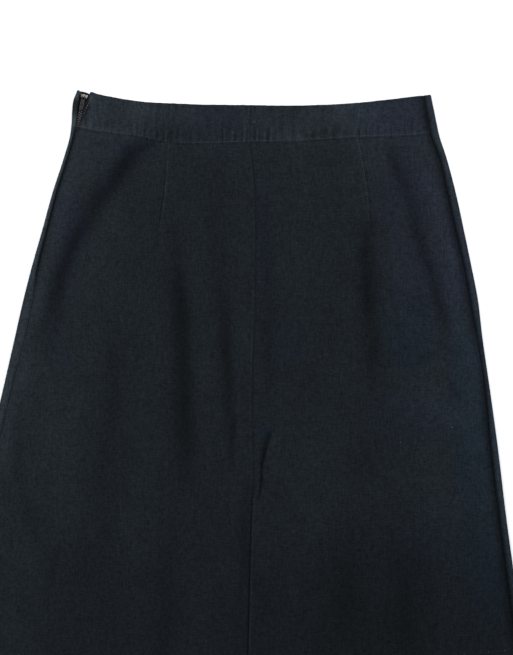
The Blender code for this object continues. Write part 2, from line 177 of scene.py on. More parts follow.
def read(table, column, value):
    """Read a column of a table, named in its first row, as a smooth curve over its first column."""
    names, *rows = table
    keys = np.array([row[0] for row in rows])
    values = np.array([row[names.index(column)] for row in rows])
    slopes = np.gradient(values, keys)
    value = np.clip(value, keys[0], keys[-1])
    i = np.clip(np.searchsorted(keys, value, side="right") - 1, 0, len(keys) - 2)
    step = keys[i + 1] - keys[i]
    t = (value - keys[i]) / step
    start = (2 * t**3 - 3 * t**2 + 1) * values[i] + (t**3 - 2 * t**2 + t) * step * slopes[i]
    end = (3 * t**2 - 2 * t**3) * values[i + 1] + (t**3 - t**2) * step * slopes[i + 1]
    return start + end


def depth_at(across, along):
    """Distance from the waist edge."""
    waist, hem = (read(edges, name, across) for name in ("waist", "hem"))
    return along * (length + waist - hem)


def plan(across, along):
    """Place on the paper: across from the picture's middle, and down from the waist."""
    down = depth_at(across, along) - read(edges, "waist", across)
    left = read(outline, "left", down)
    right = read(outline, "right", down)
    return left + across * (right - left), down


def width_at(along):
    """Width between the side folds."""
    down = plan(0.5, along)[1]
    return read(outline, "right", down) - read(outline, "left", down)


def side_seam(side, along, extra=0.0):
    """A side seam's place across, moved by extra towards the middle."""
    down = plan(side, along)[1]
    strip = read(outline, ("left_strip", "right_strip")[side], down)
    inset = (strip + extra) / width_at(along)
    return inset if side == 0 else 1.0 - inset


def in_frame(x, down, height):
    """A place in the skirt's frame, from its place on the paper."""
    return x - plan_centre[0], -down - plan_centre[1], height


def points_at(across, along, height):
    """Points in the skirt's frame."""
    x, down = plan(across, along)
    return np.stack(in_frame(x, down, np.broadcast_to(height, x.shape)), axis=-1)


folds = [
    ("rise", "reach", "x0", "down0", "x1", "down1", "x2", "down2"),
    # Left half: the long hollow over the hip, and its second branch
    (-3.4, 11.2, -104, 33, -153, 83, -187, 142),
    (-2.9, 8, -187, 130, -204, 178, -231, 254),
    (-1.4, 5, -203, 196, -212, 240, -226, 268),
    (-1.5, 6.2, -100, 33, -126, 46, -148, 76),
    (-0.9, 12, -194, 110, -200, 160, -210, 210),
    (0.6, 12, -148, 120, -168, 165, -182, 215),
    (1.6, 8, -178, 62, -196, 100, -210, 150),
    # Left half: the trough that hangs from the dart, and the shorter one beside the centre seam
    (-1.4, 8.5, -88, 118, -83, 170, -80, 225),
    (-3.4, 10.5, -82, 180, -76, 285, -75, 400),
    (-2.6, 7, -36, 200, -31, 262, -27, 345),
    (-0.9, 11, -48, 85, -40, 150, -36, 200),
    (1.1, 13, -60, 200, -55, 290, -52, 380),
    (0.9, 8.5, -14, 170, -14, 230, -15, 290),
    # Left half: soft troughs below the hip
    (-1, 9, -156, 225, -150, 285, -150, 330),
    (-0.9, 8, -149, 305, -158, 355, -164, 400),
    (-0.4, 10, -160, 400, -156, 470, -154, 560),
    (0.5, 20, -116, 150, -112, 230, -112, 310),
    (1, 18, -116, 320, -118, 400, -122, 480),
    (1.2, 20, -196, 290, -198, 370, -200, 450),
    (-1.2, 5.5, -244, 310, -251, 353, -247, 400),
    (-1, 5.5, -247, 390, -240, 430, -228, 466),
    (-0.9, 5.5, -204, 452, -212, 478, -219, 520),
    (-0.8, 2.5, -262, 305, -246, 304, -232, 306),
    (-0.8, 2.2, -216, 322, -200, 320, -186, 314),
    (-0.7, 2.2, -126, 353, -104, 350, -82, 346),
    # Centre: soft dark beside the seam, the sharp crease above the vent and the small one to its left
    (-1.2, 8, 8, 100, 12, 200, 14, 330),
    (-3.8, 1.5, 14.5, 345, 7.8, 374, 2.2, 414),
    (-1.7, 4, 15, 338, 10, 356, 7.2, 384),
    (1.1, 4.5, 21.5, 350, 17, 366, 13, 392),
    (-1.8, 3.4, -21.5, 326, -24.5, 350, -26, 384),
    (1.2, 3, -18.5, 338, -17, 345, -15, 356),
    (-1.4, 6, -12.5, 395, -12.5, 450, -14.5, 520),
    # Right half: below the dart, and over the hip
    (-3, 8.5, 117, 124, 115, 168, 119, 218),
    (-2.2, 8.5, 118, 195, 121, 245, 124, 290),
    (-2.4, 6.2, 138, 46, 152, 78, 164, 112),
    (-2.2, 5.8, 163, 108, 170, 146, 181, 176),
    (-2.7, 6, 180, 168, 191, 205, 198, 242),
    (2.2, 11, 182, 85, 193, 130, 203, 172),
    (1.4, 11, 142, 140, 150, 190, 158, 245),
    (-1.2, 4, 184, 246, 198, 256, 214, 264),
    (-1, 4.5, 165, 276, 178, 266, 194, 260),
    (-1.1, 4.5, 203, 288, 208, 302, 212, 318),
    (1.3, 22, 145, 318, 175, 312, 207, 314),
    (1.2, 20, 50, 100, 54, 155, 56, 230),
    (-0.8, 13, -42, 50, -40, 82, -34, 112),
    (-0.7, 17, -120, 74, -132, 92, -146, 112),
    (1.8, 11, 176, 318, 196, 328, 214, 344),
    (0.9, 24, 62, 340, 58, 400, 56, 460),
    (-0.4, 16, 108, 340, 112, 375, 110, 420),
    (-1.3, 20, 92, 440, 94, 500, 90, 560),
    (-0.8, 16, 166, 430, 176, 475, 180, 515),
    # Below the picture's edge, where the skirt goes on in the same way
    (-1.2, 11, 150, 470, 156, 540, 160, 615),
    (-1.2, 11, -90, 450, -96, 540, -98, 615),
    (1.2, 20, 40, 480, 38, 550, 40, 612),
    (1.2, 20, -56, 480, -58, 550, -60, 612),
]


def ripple(x, down, pitch, seed):
    """Soft random waviness between -1 and 1."""
    flat = zip(np.ravel(x), np.ravel(down))
    values = [noise.noise(Vector((a / pitch, b / pitch, seed))) for a, b in flat]
    return np.array(values).reshape(np.shape(x))


def fold_rise(x, down, table):
    """Height of a table's folds at a place, each a soft line through three places, in millimetres."""
    rise = np.zeros(x.shape)
    steps = np.linspace(0.0, 1.0, 33)
    x = x + 0.0024 * ripple(x, down, 0.036, 3.3) + 0.0009 * ripple(x, down, 0.013, 6.4)
    for row in table[1:]:
        height, reach, x0, d0, x1, d1, x2, d2 = (value / 1000 for value in row)
        near = (np.minimum(x0, x2) - 4 * reach < x) & (x < np.maximum(x0, x2) + 4 * reach + 0.02)
        near &= (down > d0 - 0.05) & (down < max(d0, d2) + 0.05)
        if not near.any():
            continue
        middle_x = 2 * x1 - (x0 + x2) / 2
        middle_d = 2 * d1 - (d0 + d2) / 2
        line_x = (1 - steps)**2 * x0 + 2 * steps * (1 - steps) * middle_x + steps**2 * x2
        line_d = (1 - steps)**2 * d0 + 2 * steps * (1 - steps) * middle_d + steps**2 * d2
        off = np.hypot(x[near][:, None] - line_x, down[near][:, None] - line_d)
        closest = steps[off.argmin(axis=-1)]
        taper = np.sin(math.pi * (0.06 + 0.88 * closest))**0.6
        rise[near] += height * taper * np.exp(-(off.min(axis=-1) / reach)**2)
    return rise


def upper_height(across, along):
    """Height of the upper layer's face, and its share of folds alone."""
    x, down = plan(across, along)
    depth = depth_at(across, along)
    band = 1.0 - ease(band_depth, band_depth + band_fade, depth)
    height = plain_height + (band_height - plain_height) * band
    from_side = np.minimum(across, 1.0 - across) * width_at(along)
    calm = ease(0.004, 0.02, from_side) * ease(0.03, 0.048, depth)
    seam = read(centre_seam, "seam", down)
    lift = 0.0009 * np.exp(-((x - seam - 0.015) / 0.042)**4) * ease(vent_top - 0.05, vent_top, down)
    rise = calm * fold_rise(x, down, folds)
    sunk = -deepest_fold * np.tanh(np.maximum(-rise, 0.0) / deepest_fold) + np.maximum(rise, 0.0)
    swell = calm * (0.0007 + 0.0006 * ripple(x, down * 0.6, 0.055, 1.7))
    return height + sunk + swell + lift, rise


band_table = [
    ("across", "pucker", "shade_and_wear", "low", "stitch"),
    (0.00, 0.35, 1.44, 0.00, 0.037),
    (0.05, 0.9, 1.42, 0.02, 0.0373),
    (0.12, 0.75, 1.28, 0.12, 0.0362),
    (0.19, 1.3, 1.45, 0.22, 0.0357),
    (0.25, 1.35, 1.3, 0.28, 0.039),
    (0.31, 0.8, 1.38, 0.32, 0.04),
    (0.38, 0.65, 1.22, 0.12, 0.0395),
    (0.44, 0.95, 1.16, 0.04, 0.0385),
    (0.5, 1.25, 1.36, 0.06, 0.0376),
    (0.6, 1.2, 1.28, 0.04, 0.0366),
    (0.69, 1.15, 1.42, 0.13, 0.0352),
    (0.76, 0.9, 1.52, 0.2, 0.0348),
    (0.84, 0.7, 1.24, 0.1, 0.0366),
    (0.93, 0.55, 1.05, 0.1, 0.0388),
    (1.00, 0.3, 0.98, 0.1, 0.0383),
]


def shade_and_wear_at(across, along, rise):
    """A brightness factor of painted light and shade: painted light on ridges and at the sides, painted
    shade in troughs, and lighter over the facing.
    """
    x, down = plan(across, along)
    from_side = np.minimum(across, 1.0 - across) * width_at(along)
    # Painted shade in the fold troughs and painted light on the fold ridges, from each fold's rise.
    shade_and_wear = 1.0 + 155.0 * np.minimum(rise, 0.0) + 90.0 * np.maximum(rise, 0.0)
    # Painted light towards both side folds, strongest right at the folds.
    shade_and_wear *= 1.0 + 0.22 * (1.0 - ease(0.06, 0.125, from_side))
    shade_and_wear *= 1.0 + 0.12 * bump(from_side, 0.0, 0.03) + 0.36 * bump(from_side, 0.0, 0.013)
    # Lighter over the facing above the stitch line, less so lower in the band.
    stitch = read(band_table, "stitch", across)
    below = ease(stitch - 0.0008, stitch + 0.0014, depth_at(across, along))
    over_facing = read(band_table, "shade_and_wear", across)
    over_facing *= 1.0 - read(band_table, "low", across) * ease(0.004, 0.032, depth_at(across, along))
    shade_and_wear *= 1.0 + (1.0 - below) * (over_facing - 1.0)
    # Painted light towards the waist, the side that faces the main lamp.
    shade_and_wear *= 1.0 + 0.15 * (1.0 - ease(0.045, 0.115, down))
    # Painted light in a strip just inside each side seam, over the hips.
    strip = bump(from_side, np.where(x < 0.0, 0.017, 0.024), 0.014)
    shade_and_wear *= 1.0 + 0.16 * strip * (x > 0.0) * ease(0.06, 0.1, down) * (1.0 - ease(0.3, 0.42, down))
    shade_and_wear *= 1.0 + 0.24 * strip * (x < 0.0) * ease(0.12, 0.2, down) * (1.0 - ease(0.33, 0.42, down))
    # Painted shade towards the hem, deepest on the right.
    shade_and_wear *= 1.0 - ease(0.4, 0.54, down) * (0.07 + 0.26 * ease(-0.2, 0.2, x))
    return np.clip(shade_and_wear, 0.22, 3.4)


dye_patches = [
    ("x", "down", "wide", "tall", "indigo", "teal"),
    (-38.3, 20.5, 44, 26, 0.75, 0.0),
    (146.5, 14.2, 44, 30, 0.95, 0.0),
    (-196, 141, 18, 48, 0.95, 0.0),
    (-126.5, 45.7, 28, 15, 0.8, 0.2),
    (-156, 79, 14, 20, 0.7, 0.0),
    (-208, 240, 12, 44, 0.5, 0.0),
    (159, 95, 36, 56, 1.0, 0.0),
    (168, 175, 38, 56, 1.0, 0.0),
    (206, 170, 22, 66, 1.0, 0.0),
    (166.4, 325, 52, 32, 0.8, 0.25),
    (161, 240, 26, 42, 0.35, 0.95),
    (223, 278, 22, 70, 0.2, 0.9),
    (232.6, 370, 28, 84, 0.0, 1.0),
    (245, 490, 28, 74, 0.0, 1.0),
    (30, 246, 24, 32, 0.5, 0.35),
    (7.9, 146, 9, 80, 0.55, 0.25),
    (9, 343, 9, 9, 0.0, 1.0),
    (193, 456, 56, 46, 0.5, 0.3),
    (-30, 50, 26, 18, 0.3, 0.0),
]


def dye_at(points):
    """How far the dye has turned indigo or teal at points, from the table of patches in millimetres."""
    x = points[..., 0] + plan_centre[0]
    down = -points[..., 1] - plan_centre[1]
    x = x + 0.009 * ripple(x, down, 0.03, 7.7)
    down = down + 0.009 * ripple(x, down, 0.03, 2.9)
    indigo = np.zeros(x.shape)
    teal = np.zeros(x.shape)
    for *place, blue, green in dye_patches[1:]:
        at_x, at_down, wide, tall = (value / 1000 for value in place)
        held = np.exp(-(((x - at_x) / wide)**2 + ((down - at_down) / tall)**2)**1.5)
        indigo = np.maximum(indigo, blue * held)
        teal = np.maximum(teal, green * held)
    return indigo, teal


def add_node(material, kind, inputs, **settings):
    """A shader node with its settings and inputs, each a value or another node's output."""
    node = material.node_tree.nodes.new("ShaderNode" + kind)
    for setting, value in settings.items():
        setattr(node, setting, value)
    for socket, value in inputs.items():
        if isinstance(value, bpy.types.NodeSocket):
            material.node_tree.links.new(value, node.inputs[socket])
        else:
            node.inputs[socket].default_value = value
    return node


def feed(material, socket, output):
    """Let a node's output set one of the shader's inputs."""
    material.node_tree.links.new(output, material.node_tree.nodes["Principled BSDF"].inputs[socket])


def washed_cotton(name, turn, seed):
    """Plain-weave cotton, piece dyed and often washed: uneven yarns, and the dye held in bluish patches."""
    material = finish(name, (0.0137, 0.0176, 0.0212), 0.82, 0.03)
    shader = material.node_tree.nodes["Principled BSDF"]
    place = add_node(material, "TexCoord", {})
    turned = add_node(material, "Mapping", {"Vector": place.outputs["Object"], "Rotation": (0.0, 0.0, turn)})

    def calculate(kind, *values):
        return add_node(material, "Math", dict(enumerate(values)), operation=kind).outputs[0]

    def noise_over(scale, detail):
        """Noise with its own scale along each axis, so that it can run out along a yarn."""
        shift = (seed, seed * 0.7, seed * 0.3)
        scaled = add_node(
            material, "Mapping", {"Vector": turned.outputs["Vector"], "Scale": scale, "Location": shift}
        )
        look = {"Vector": scaled.outputs["Vector"], "Scale": 1.0, "Detail": detail}
        return add_node(material, "TexNoise", look).outputs["Fac"]

    split = add_node(material, "SeparateXYZ", {"Vector": turned.outputs["Vector"]})
    yarn_pitch = 0.00047
    warp = calculate("SINE", calculate("MULTIPLY", split.outputs["X"], math.pi / yarn_pitch))
    weft = calculate("SINE", calculate("MULTIPLY", split.outputs["Y"], math.pi / yarn_pitch))
    weave = calculate("MULTIPLY", warp, weft)
    warp_slub = noise_over((1050.0, 210.0, 60.0), 1.0)
    weft_slub = noise_over((230.0, 1050.0, 60.0), 1.0)
    long_slub = noise_over((620.0, 34.0, 40.0), 1.0)
    wash = noise_over((24.0, 19.0, 20.0), 4.0)
    mottle = noise_over((300.0, 330.0, 200.0), 3.0)
    slubs = calculate("SUBTRACT", calculate("ADD", warp_slub, weft_slub), 1.0)
    # This attribute scales the dye's brightness: painted light and shade for the folds, seams and edges, and
    # the lighter cloth over the facing.
    painted_shade_and_wear = add_node(material, "Attribute", {}, attribute_name="painted_shade_and_wear")
    tone = calculate("MULTIPLY_ADD", slubs, 1.15, 1.0)
    for uneven, amount in ((long_slub, 0.3), (wash, 0.36), (mottle, 0.34)):
        spread_tone = calculate("MULTIPLY_ADD", calculate("SUBTRACT", uneven, 0.5), amount, 1.0)
        tone = calculate("MULTIPLY", tone, spread_tone)
    tone = calculate("MAXIMUM", calculate("MULTIPLY", tone, painted_shade_and_wear.outputs["Fac"]), 0.12)

    dye = (0.0069, 0.0092, 0.0112, 1.0)
    for held, colour in (
        ("indigo", (0.0072, 0.009, 0.0137, 1.0)),
        ("teal", (0.0059, 0.0092, 0.0133, 1.0)),
    ):
        amount = add_node(material, "Attribute", {}, attribute_name=held)
        mix = {"Factor": amount.outputs["Fac"], "A": dye, "B": colour}
        dye = add_node(material, "Mix", mix, data_type="RGBA").outputs["Result"]
    tinted = add_node(material, "VectorMath", {0: dye, "Scale": tone}, operation="SCALE")
    shader.inputs["Sheen Weight"].default_value = 0.02
    shader.inputs["Sheen Roughness"].default_value = 0.5
    shader.inputs["Sheen Tint"].default_value = (0.8, 0.9, 1.0, 1.0)

    relief = calculate("MULTIPLY_ADD", weave, 0.35, slubs)
    yarn_relief = add_node(material, "Bump", {"Height": relief, "Strength": 0.5, "Distance": 0.0003})
    feed(material, "Base Color", tinted.outputs["Vector"])
    feed(material, "Normal", yarn_relief.outputs["Normal"])
    return material


def cloth(name, grids, wall, material, faces_down=False):
    """A thin shell of cloth through grids of points. Each grid brings a brightness factor for its cloth,
    mostly painted light and shade.
    """
    corners = []
    faces = []
    looks = {"painted_shade_and_wear": [], "indigo": [], "teal": []}
    for points, shade_and_wear in grids:
        rows, columns = points.shape[:2]
        corner = np.arange(rows * columns).reshape(rows, columns) + len(corners)
        quads = np.stack([corner[:-1, :-1], corner[1:, :-1], corner[1:, 1:], corner[:-1, 1:]], axis=-1)
        quads = quads.reshape(-1, 4)
        faces += (quads[:, ::-1] if faces_down else quads).tolist()
        corners += points.reshape(-1, 3).tolist()
        for look, values in zip(looks, (shade_and_wear, *dye_at(points))):
            looks[look] += np.ravel(values).tolist()
    mesh = bpy.data.meshes.new(name)
    mesh.from_pydata(corners, [], faces)
    mesh.shade_smooth()
    for look, values in looks.items():
        mesh.attributes.new(look, "FLOAT", "POINT").data.foreach_set("value", values)
    mesh.materials.append(material)
    shell = shown(name, mesh)
    solid = shell.modifiers.new("wall", "SOLIDIFY")
    solid.thickness = wall
    solid.offset = -1.0
    return shell


def cloth_rows(band_pitch, pitch):
    """Shares of the length, close together at the waist edge, the stitch line and the hem."""
    turned = np.array([0.0, 0.00015, 0.0004, 0.0008, 0.0014])
    band = np.arange(0.0022, 0.033, band_pitch)
    stitched = np.arange(0.0336, 0.0426, band_pitch * 0.36)
    start = stitched[-1] + band_pitch
    body = np.linspace(start, length - 0.003, round((length - start) / pitch))
    return np.concatenate([turned, band, stitched, body, length - turned[::-1]]) / length


def rolled_edge(distance, radius):
    """How far cloth curves down at a distance from its turned edge."""
    inside = np.clip(distance, 0.0, radius)
    return radius - np.sqrt(np.maximum(radius**2 - (radius - inside)**2, 0.0))


def from_ends(across, along):
    """Distance from the nearer of the waist edge and the hem."""
    from_waist = depth_at(across, along)
    return np.minimum(from_waist, depth_at(across, 1.0) - from_waist)


def with_worn_waist(places, across, along, corner_x, corner_rise):
    """Places with an uneven waist edge from wear, and its corner beside the slider raised or sunk."""
    x = plan(across, along)[0]
    uneven = 0.0002 * ripple(x, np.zeros(x.shape), 0.006, 4.4)
    uneven = uneven + corner_rise * bump(x, corner_x, 0.0032)
    places[:, 1] += uneven * bump(depth_at(across, along), 0.0, 0.0045)
    return places


def openness(side, down):
    """How deep the side seam's groove is: 1 where the seam stands open, less where it is pressed flat."""
    if side == 1:
        return 1.0 - 0.35 * bump(down, 0.262, 0.03)
    return (1.0 - 0.8 * ease(0.172, 0.196, down)) * (0.3 + 0.7 * ease(-0.012, 0.003, down))


front_cotton = washed_cotton("front_cotton", 0.0, 0.31)
under_folds = [
    folds[0],
    (0.9, 10, -110, 60, -135, 150, -150, 260),
    (1, 9, 80, 120, 86, 230, 84, 340),
    (0.8, 12, -20, 200, -24, 320, -20, 450),
    (0.9, 11, 160, 90, 186, 200, 200, 300),
    (0.8, 14, -180, 360, -190, 460, -196, 560),
    (0.8, 14, 110, 420, 118, 500, 120, 590),
    (0.6, 0.8, -98, 0, -94, 55, -90, 110),
    (0.6, 0.8, 92, 0, 90, 55, 86, 110),
]
fold_turn = np.linspace(0.0, math.pi, 15)
rim = np.array([0.0, 0.0002, 0.0006, 0.0012, 0.002])
front_points = []
front_shade_and_wear = []
for share in cloth_rows(0.0022, 0.0034):
    width = width_at(share)
    tops = [float(upper_height(np.array([side]), share)[0][0]) for side in (0.001, 0.999)]
    strips = []
    for side in (0, 1):
        down = float(plan(side, share)[1])
        seam = side_seam(side, share) if side == 0 else 1.0 - side_seam(side, share)
        rolled = tops[side] / 2 / width
        across = np.append(seam - rim / width, (seam - rim[-1] / width + rolled) / 2)
        height = tops[side] - rolled_edge((seam - across) * width, 0.0004 + 0.0012 * openness(side, down))
        from_seam = (seam - across) * width
        # Painted shade in the groove beside each side seam, and painted light on the rolled strip by the
        # outline, less of it at the top of the left strip and low on the right strip.
        painted_groove_shade = 1.0 - 0.7 * openness(side, down) * bump(from_seam, 0.0, (0.0018, 0.003)[side])
        rim_light = 1.0 + (0.95, 0.66)[side] * np.exp(-(across * width / (0.0046, 0.0042)[side])**2)
        if side == 0:
            rim_light *= 1.0 - 0.7 * ease(-0.011, -0.003, down) * (1.0 - ease(0.004, 0.016, down))
        else:
            rim_light *= 1.0 - 0.38 * bump(down, 0.262, 0.032)
        turn_across = rolled * (1.0 - np.sin(fold_turn))
        turn_height = tops[side] / 2 * (1.0 + np.cos(fold_turn))
        across = np.concatenate([across, turn_across])
        height = np.concatenate([height, turn_height])
        lights = np.concatenate([painted_groove_shade * rim_light, np.full(turn_across.shape, rim_light[-1] * 0.9)])
        strips.append((across, height, lights))
    flat = np.linspace(strips[0][0][-1], 1.0 - strips[1][0][-1], 112)[1:-1]
    across = np.concatenate([strips[0][0], flat, 1.0 - strips[1][0][::-1]])
    height = np.concatenate([strips[0][1], fold_rise(*plan(flat, share), under_folds), strips[1][1][::-1]])
    lights = np.concatenate([strips[0][2], np.ones(flat.shape), strips[1][2][::-1]])
    above = height > np.mean(tops) / 2
    turned = rolled_edge(from_ends(across, share), 0.0011)
    height = np.where(above, height - turned, np.maximum(height, turned * 0.5))
    front_points.append(with_worn_waist(points_at(across, share, height), across, share, -0.1752, -0.0011))
    # The front's brightness: painted light and shade of the folds and sides, times the seam strips' painted
    # light and shade.
    front_shade_and_wear.append(shade_and_wear_at(across, share, np.zeros(across.shape)) * lights)
front_grid = (np.array(front_points), np.array(front_shade_and_wear))
front = cloth("front_cloth", [front_grid], cloth_wall, front_cotton, faces_down=True)
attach(front, "skirt")
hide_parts("front_panel")

# The facings: two curved strips of the same cotton, stiffened, turned in at the waist edge and held by
# the line of stitching. They lie between the front and the back.
facing_cotton = washed_cotton("facing_cotton", 0.0, 0.77)
for facing_name, first, last in (("front_facing", 0.017, 0.008), ("back_facing", 0.032, 0.008)):
    low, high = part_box(facing_name)
    facing_rows = []
    for depth in np.linspace(0.0012, band_depth + 0.0012, 24):
        share = depth / length
        width = width_at(share)
        across = np.linspace(first / width, 1.0 - last / width, 140)
        wave = 0.00012 * np.sin(across * 190.0) * depth / band_depth
        places = points_at(across, share, high.z - 0.00015 + wave)
        facing_rows.append(with_worn_waist(places, across, share, -0.1752, -0.0011))
    facing_points = np.array(facing_rows)
    facing_grid = (facing_points, np.full(facing_points.shape[:2], 1.2))
    facing = cloth(facing_name.replace("facing", "facing_cloth"), [facing_grid], cloth_wall, facing_cotton)
    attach(facing, "skirt")
    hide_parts(facing_name)

# The zip's tapes: two narrow twill strips under the left side seam, sewn to the front and the back. Their
# inner edges carry the chain of metal teeth.
slider_at = Vector((-0.1605, 0.31066, 0.0))
zip_lean = math.radians(13.4)
zip_length = 0.205
chain_start = -0.0036
chain_under_face = 0.00195
chain_sinks = 0.0017
waist_rise = 0.0125
tape_sides = ((-0.0004, -0.0058), (0.0118, 0.0004))
tape_inset = 0.0023
tape_points = 9
slider_down = -slider_at.y - plan_centre[1]
slider_x = slider_at.x + plan_centre[0]


def chain_x(down):
    """The chain's place across: on the slider's own line near the waist, then along the side seam."""
    on_slider = slider_x - (down - slider_down) * math.tan(zip_lean)
    left, strip, opening = (read(outline, name, down) for name in ("left", "left_strip", "zip_open"))
    return on_slider + (left + strip + opening / 2 - on_slider) * ease(0.014, 0.03, down)


def share_at(down):
    """The share of the length at a height beside the zip or a dart, where the waist edge has risen."""
    return (down + waist_rise) / length


def chain_height(down):
    """The chain's middle: between the slider's plates near the waist, then sunk under the seam."""
    face = float(upper_height(np.array([0.001]), share_at(down))[0][0])
    return face - chain_under_face - chain_sinks * float(ease(0.014, 0.027, down))


tape_grids = []
for inner, outer in tape_sides:
    tape_rows = []
    for down in np.arange(-0.0105, zip_length + 0.004, 0.003):
        top = chain_height(down) + 0.00025
        start = max(chain_x(down) + min(inner, outer), float(read(outline, "left", down)) + tape_inset)
        across = np.linspace(start, chain_x(down) + max(inner, outer), tape_points)
        ribs = 0.00006 * np.sin(across * 9000.0)
        tape_rows.append(np.stack(in_frame(across, np.full(tape_points, down), top + ribs), axis=-1))
    # Painted shade: the outer tape, down in the seam's groove, is drawn at half brightness, and the inner
    # one a little lighter.
    tape_grids.append((np.array(tape_rows), np.full((len(tape_rows), tape_points), (0.5, 1.2)[inner > 0])))
tape_cotton = washed_cotton("tape_twill", math.radians(45.0), 0.9)
tape = cloth("zip_tapes", tape_grids, 0.0005, tape_cotton)
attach(tape, "skirt")
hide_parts("zip_tape")

# The zip's chain: dull grey metal teeth clamped on the tapes' inner edges, a pair every 2.6 mm, closed up
# to the slider. Only its top few centimetres show, where the side seam stands open.


def repeat_tree():
    """Geometry nodes that set a piece at even steps along a route, a little uneven in size."""
    tree = bpy.data.node_groups.new("repeat_along_route", "GeometryNodeTree")
    for socket_name, kind in (
        ("Route", "NodeSocketGeometry"),
        ("Piece", "NodeSocketObject"),
        ("Pitch", "NodeSocketFloat"),
        ("Smallest", "NodeSocketFloat"),
        ("Seed", "NodeSocketInt"),
        ("Material", "NodeSocketMaterial"),
    ):
        tree.interface.new_socket(name=socket_name, in_out="INPUT", socket_type=kind)
    tree.interface.new_socket(name="Pieces", in_out="OUTPUT", socket_type="NodeSocketGeometry")
    given = tree.nodes.new("NodeGroupInput")
    made = tree.nodes.new("NodeGroupOutput")
    curve, steps, tangent, piece, placed, real, painted = (
        tree.nodes.new("GeometryNode" + kind)
        for kind in (
            "MeshToCurve",
            "ResampleCurve",
            "InputTangent",
            "ObjectInfo",
            "InstanceOnPoints",
            "RealizeInstances",
            "SetMaterial",
        )
    )
    align = tree.nodes.new("FunctionNodeAlignRotationToVector")
    size = tree.nodes.new("FunctionNodeRandomValue")
    steps.mode = "LENGTH"
    align.axis = "X"
    align.pivot_axis = "Z"
    piece.inputs["As Instance"].default_value = True
    size.data_type = "FLOAT"
    size.inputs["Max"].default_value = 1.0
    for source, output, target, socket in (
        (given, "Route", curve, "Mesh"),
        (curve, "Curve", steps, "Curve"),
        (given, "Pitch", steps, "Length"),
        (steps, "Curve", placed, "Points"),
        (given, "Piece", piece, "Object"),
        (piece, "Geometry", placed, "Instance"),
        (tangent, "Tangent", align, "Vector"),
        (align, "Rotation", placed, "Rotation"),
        (given, "Smallest", size, "Min"),
        (given, "Seed", size, "Seed"),
        (size, "Value", placed, "Scale"),
        (placed, "Instances", real, "Geometry"),
        (real, "Geometry", painted, "Geometry"),
        (given, "Material", painted, "Material"),
        (painted, "Geometry", made, "Pieces"),
    ):
        tree.links.new(source.outputs[output], target.inputs[socket])
    return tree


def repeat_along(name, routes, piece, pitch, material, smallest=1.0, seed=1):
    """One mesh of a piece repeated along routes of points."""
    mesh = bpy.data.meshes.new(name)
    places = [tuple(point) for route in routes for point in route]
    ends = np.cumsum([0] + [len(route) for route in routes])
    links = [(i, i + 1) for start, end in zip(ends[:-1], ends[1:]) for i in range(start, end - 1)]
    mesh.from_pydata(places, links, [])
    carrier = shown(name, mesh)
    setting = carrier.modifiers.new("repeat", "NODES")
    setting.node_group = repeated
    values = {"Piece": piece, "Pitch": pitch, "Smallest": smallest, "Seed": seed, "Material": material}
    for item in repeated.interface.items_tree:
        if item.in_out == "INPUT" and item.name in values:
            setting[item.identifier] = values[item.name]
    bpy.context.view_layer.update()
    source = carrier.evaluated_get(bpy.context.evaluated_depsgraph_get())
    finished = bpy.data.meshes.new_from_object(source)
    bpy.data.objects.remove(carrier)
    bpy.data.objects.remove(piece)
    return shown(name, finished)


def piece_from(name, build, material=None):
    """A mesh object from a function that fills a bmesh."""
    mesh = bpy.data.meshes.new(name)
    bm = bmesh.new()
    build(bm)
    bmesh.ops.recalc_face_normals(bm, faces=bm.faces)
    bm.to_mesh(mesh)
    bm.free()
    mesh.shade_smooth()
    if material:
        mesh.materials.append(material)
    return shown(name, mesh)


def add_block(bm, centre, size, bevel):
    """A block with rounded edges."""
    block = bmesh.ops.create_cube(bm, size=1.0)["verts"]
    bmesh.ops.scale(bm, verts=block, vec=size)
    bmesh.ops.translate(bm, verts=block, vec=centre)
    edges = {edge for corner in block for edge in corner.link_edges}
    bmesh.ops.bevel(bm, geom=list(edges), offset=bevel, segments=2, affect="EDGES", profile=0.5)


def metal(name, colour, roughness):
    """Plated zip metal, a little scuffed."""
    material = finish(name, colour, roughness, 0.5)
    place = add_node(material, "TexCoord", {})
    scuffs = add_node(material, "TexNoise", {"Vector": place.outputs["Object"], "Scale": 1500.0})
    ends = {"Value": scuffs.outputs["Fac"], "To Min": roughness * 0.75, "To Max": roughness * 1.3}
    shade_and_wear = add_node(material, "MapRange", ends)
    feed(material, "Roughness", shade_and_wear.outputs["Result"])
    material.node_tree.nodes["Principled BSDF"].inputs["Metallic"].default_value = 1.0
    return material


tooth_step = 0.0013


def add_tooth_pair(bm):
    """A tooth of each side, half a pitch apart, each with its head across the chain's middle."""
    for side, offset in ((1, 0.0), (-1, tooth_step)):
        add_block(bm, (offset, side * 0.001, 0.0), (0.001, 0.0016, 0.0013), 0.00022)
        add_block(bm, (offset, side * 0.0002, 0.0), (0.0012, 0.0006, 0.0011), 0.0002)


repeated = repeat_tree()
chain_route = []
for down in np.arange(chain_start, zip_length, 0.002):
    chain_route.append(in_frame(float(chain_x(down)), down, chain_height(down)))
tooth_metal = metal("tooth_metal", (0.08, 0.079, 0.083), 0.38)
tooth_pair = piece_from("tooth_pair", add_tooth_pair)
chain = repeat_along("zip_teeth", [chain_route], tooth_pair, 2 * tooth_step, tooth_metal)
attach(chain, "skirt")

# The zip's hand stitches: short pale stitches that hold the back's turned-in edge to the zip's tape, one
# every 2.7 mm beside the slider.


def add_stitch(bm):
    bmesh.ops.create_uvsphere(bm, u_segments=8, v_segments=6, radius=1.0)
    bmesh.ops.scale(bm, verts=bm.verts, vec=(0.00105, 0.00024, 0.00016))


